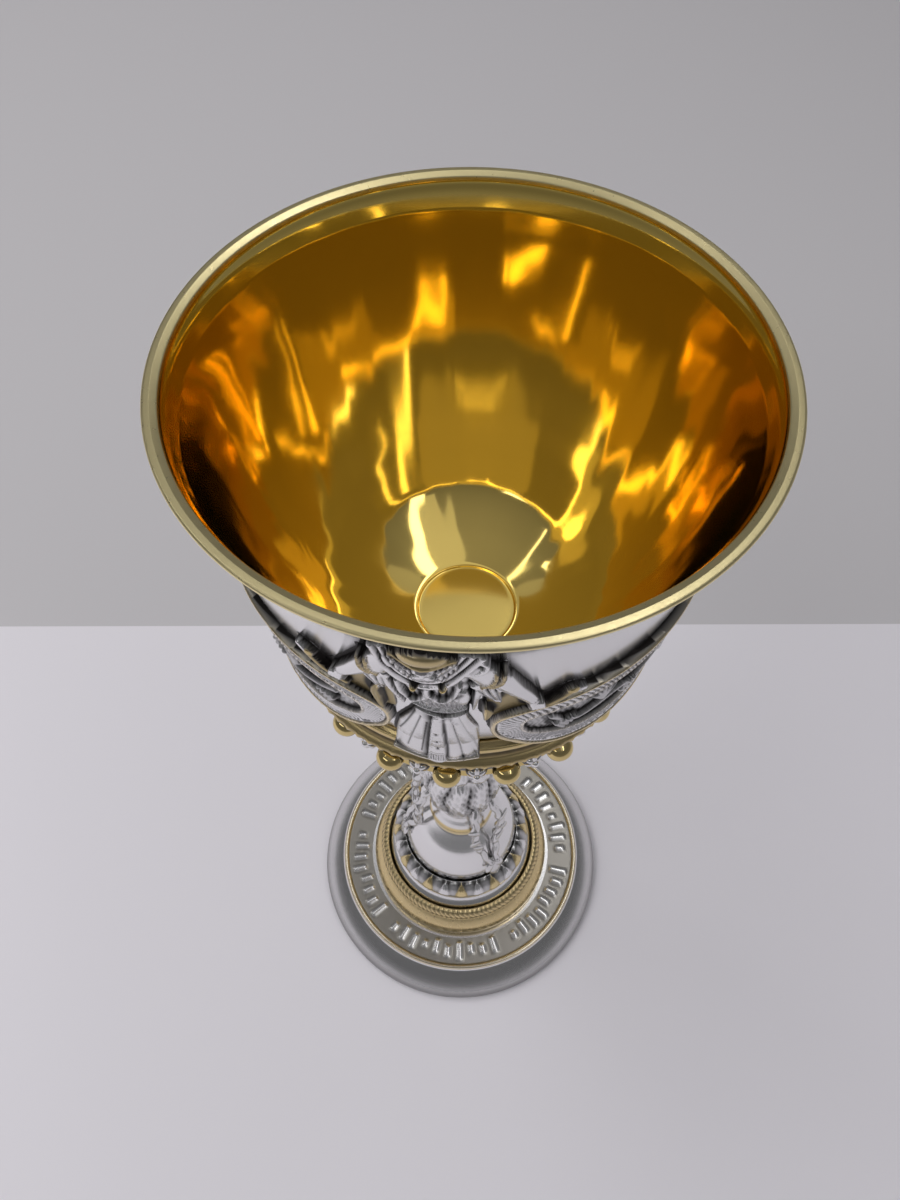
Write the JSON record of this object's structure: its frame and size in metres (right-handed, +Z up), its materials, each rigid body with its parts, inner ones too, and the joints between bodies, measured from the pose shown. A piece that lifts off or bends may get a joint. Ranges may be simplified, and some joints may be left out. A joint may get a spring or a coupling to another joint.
{
  "type": "ceremonial goblet",
  "caption": "Parcel-gilt silver goblet: a flared bowl with robed figures and oval cartouches in relief, on a beaded girdle, a cast stem with vine brackets and a domed foot.",
  "frame": {"origin": "centre of the foot's underside, on the surface that the goblet stands on", "axes": "+Z up through the middle of the rim, -Y towards the viewer of the first figure"},
  "size_m": [0.082, 0.082, 0.2054],
  "materials": {
    "polished_silver": "polished silver, lightly worn",
    "cast_silver": "cast and chased silver with dark oxidised recesses and gilt accents",
    "bright_gilt": "gilt beads with silver buds between them",
    "antique_gilt": "old gilding, bright on the edges and dark in the hollows"
  },
  "bodies": {
    "root": {"bowl": "polished_silver", "gilt_collar": "antique_gilt", "bead_girdle": "bright_gilt", "calyx": "cast_silver", "stem": "cast_silver", "foot": "polished_silver", "gilt_ring": "antique_gilt", "leaf_ring": "cast_silver", "figure_1": "cast_silver", "cartouche_1": "cast_silver", "figure_2": "cast_silver", "cartouche_2": "cast_silver", "figure_3": "cast_silver", "cartouche_3": "cast_silver"}
  },
  "joints": []
}
